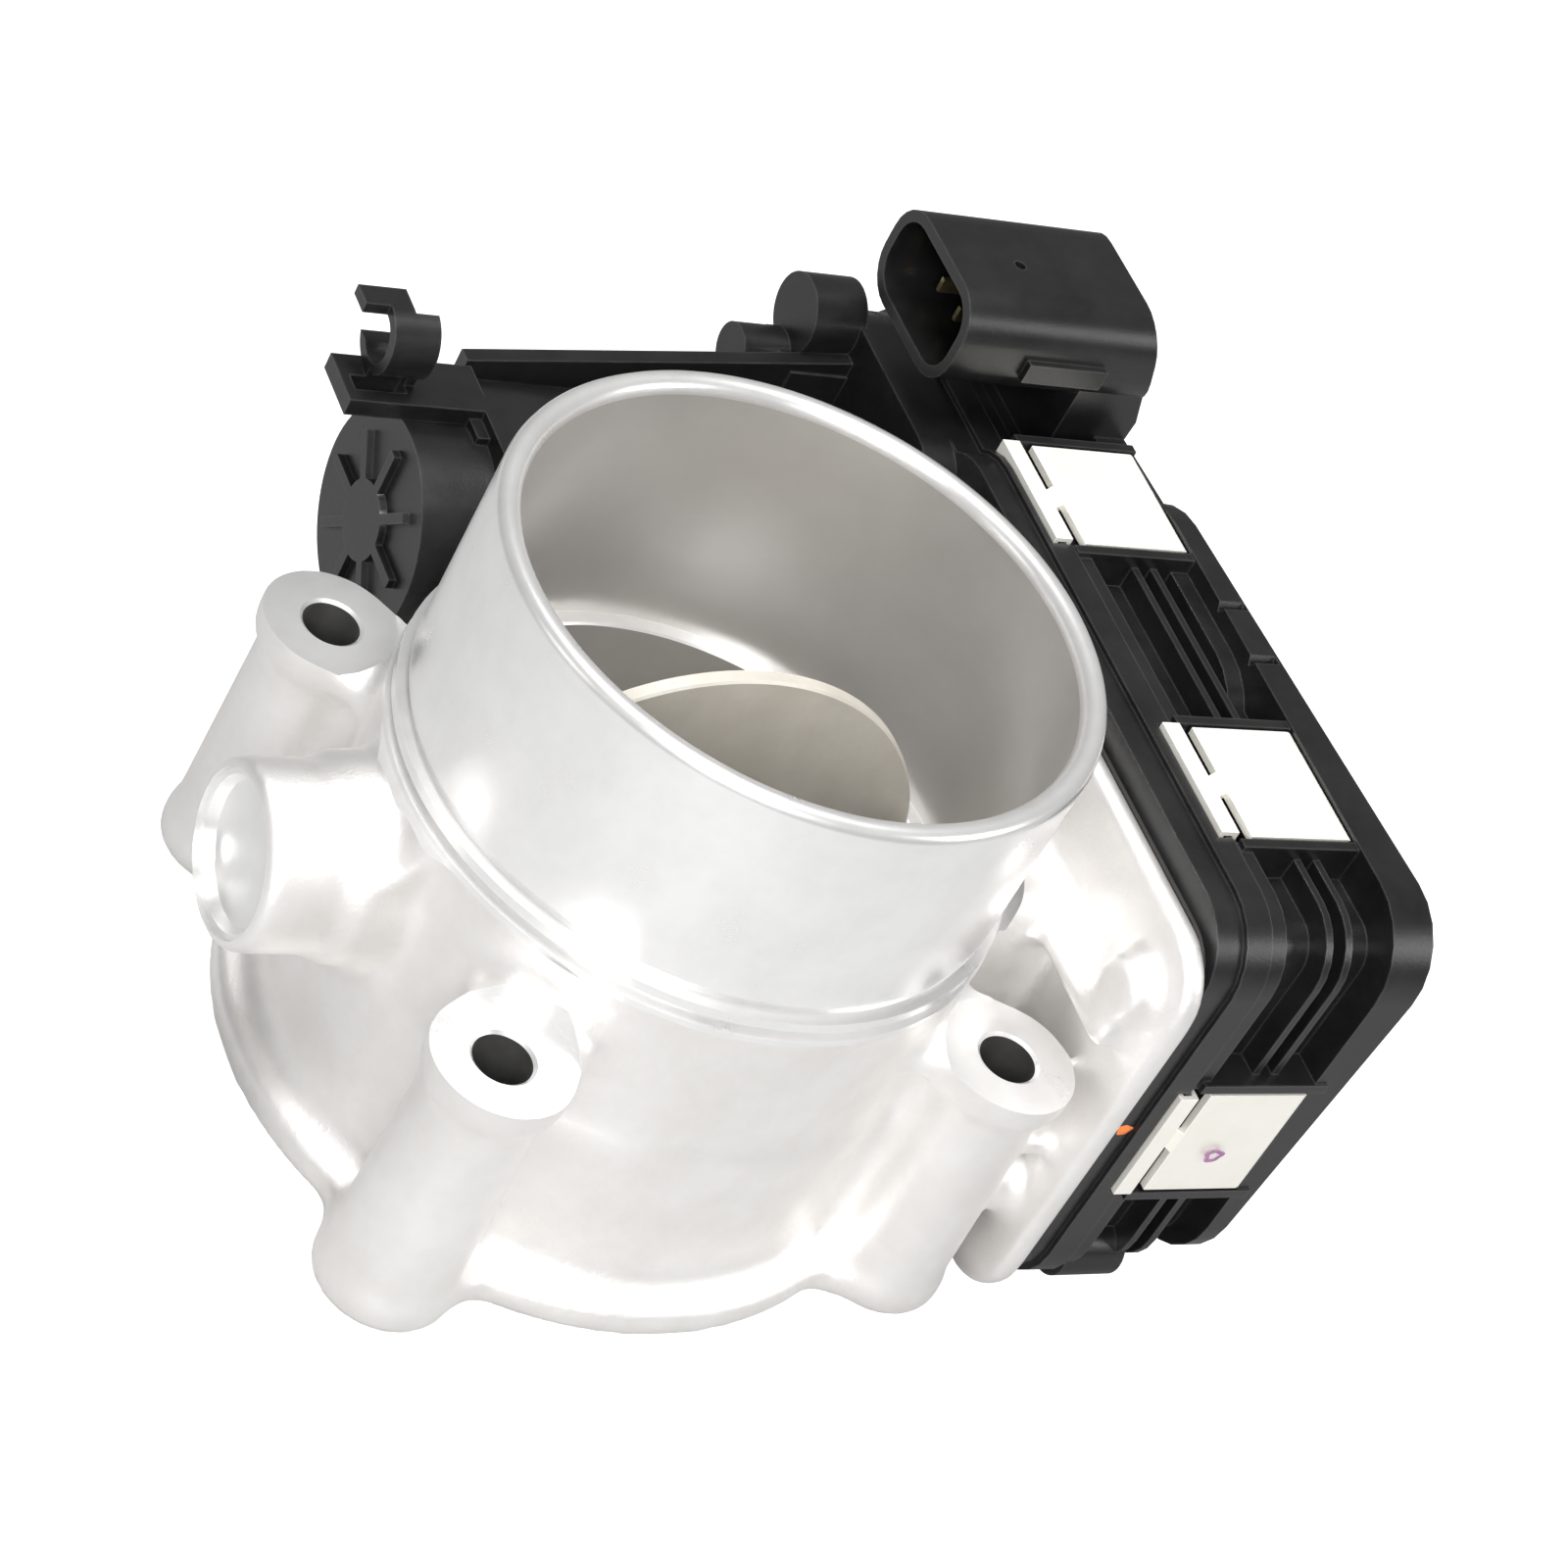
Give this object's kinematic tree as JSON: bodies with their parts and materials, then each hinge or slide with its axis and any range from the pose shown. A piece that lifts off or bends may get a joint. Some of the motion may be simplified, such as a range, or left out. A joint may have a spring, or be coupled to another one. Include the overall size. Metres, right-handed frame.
{
  "type": "throttle body",
  "caption": "Electronic throttle body: round cast barrel with bolt pillars, hinged throttle plate, geared motor drive behind a clipped plastic cover with a side connector.",
  "frame": {"origin": "centre of the throttle bore on the mounting flange face", "axes": "+Z along the bore towards the inlet spigot, +X along the throttle shaft towards the gear cover, +Y towards the motor and the connector"},
  "size_m": [0.1568, 0.1427, 0.0976],
  "materials": {
    "cast_aluminium": "fine blasted casting with turned spigot and bores",
    "shaft_steel": "ground",
    "plate_brass": "dull turned edge",
    "screw_steel": "zinc plated",
    "bearing_steel": "ground",
    "seal_rubber": "matt",
    "spring_steel": "drawn wire",
    "plug_steel": "pressed, shiny",
    "housing_plastic": "glass-filled, fine grain",
    "gasket_rubber": "matt",
    "motor_steel": "zinc plated",
    "motor_plastic": "moulded",
    "pinion_brass": "cut",
    "gear_plastic": "moulded",
    "magnet_steel": "sintered",
    "board_laminate": "coated laminate",
    "cover_plastic": "glass-filled, fine grain",
    "pin_brass": "tin over brass",
    "clip_steel": "tinned spring strip"
  },
  "bodies": {
    "body": {"body_casting": "cast_aluminium", "idle_bearing": "bearing_steel", "drive_bearing": "bearing_steel", "shaft_seals": "seal_rubber", "core_plug": "plug_steel", "gear_housing": "housing_plastic", "housing_gasket": "gasket_rubber", "housing_screws": "screw_steel", "motor_can": "motor_steel", "motor_end_cap": "motor_plastic", "motor_screws": "screw_steel", "intermediate_pin": "shaft_steel", "spring_sleeve": "gear_plastic", "sensor_board": "board_laminate", "gear_cover": "cover_plastic", "cover_seal": "seal_rubber", "connector_pins": "pin_brass", "cover_clips": "clip_steel"},
    "throttle": {"throttle_shaft": "shaft_steel", "throttle_plate": "plate_brass", "plate_screws": "screw_steel", "shaft_circlip": "spring_steel", "sector_gear": "gear_plastic", "sensor_magnet": "magnet_steel", "return_spring": "spring_steel"},
    "intermediate": {"intermediate_gear": "gear_plastic"},
    "rotor": {"motor_rotor": "shaft_steel", "motor_pinion": "pinion_brass"}
  },
  "joints": [
    {"name": "throttle_joint", "type": "hinge", "parent": "body", "child": "throttle", "pos_m": [0, 0, 0.04], "axis": [1, 0, 0], "range_deg": [0, 84]},
    {"name": "intermediate_joint", "type": "hinge", "parent": "body", "child": "intermediate", "pos_m": [0.07, 0.03496, 0.04167], "axis": [1, 0, 0], "range_deg": [-244, 1]},
    {"name": "rotor_joint", "type": "hinge", "parent": "body", "child": "rotor", "pos_m": [0.07, 0.06293, 0.043], "axis": [1, 0, 0], "range_deg": [-1, 729]}
  ],
  "couplings": [
    {"joint": "intermediate_joint", "follows": "throttle_joint", "ratio": -2.8889},
    {"joint": "rotor_joint", "follows": "throttle_joint", "ratio": 8.6667}
  ]
}
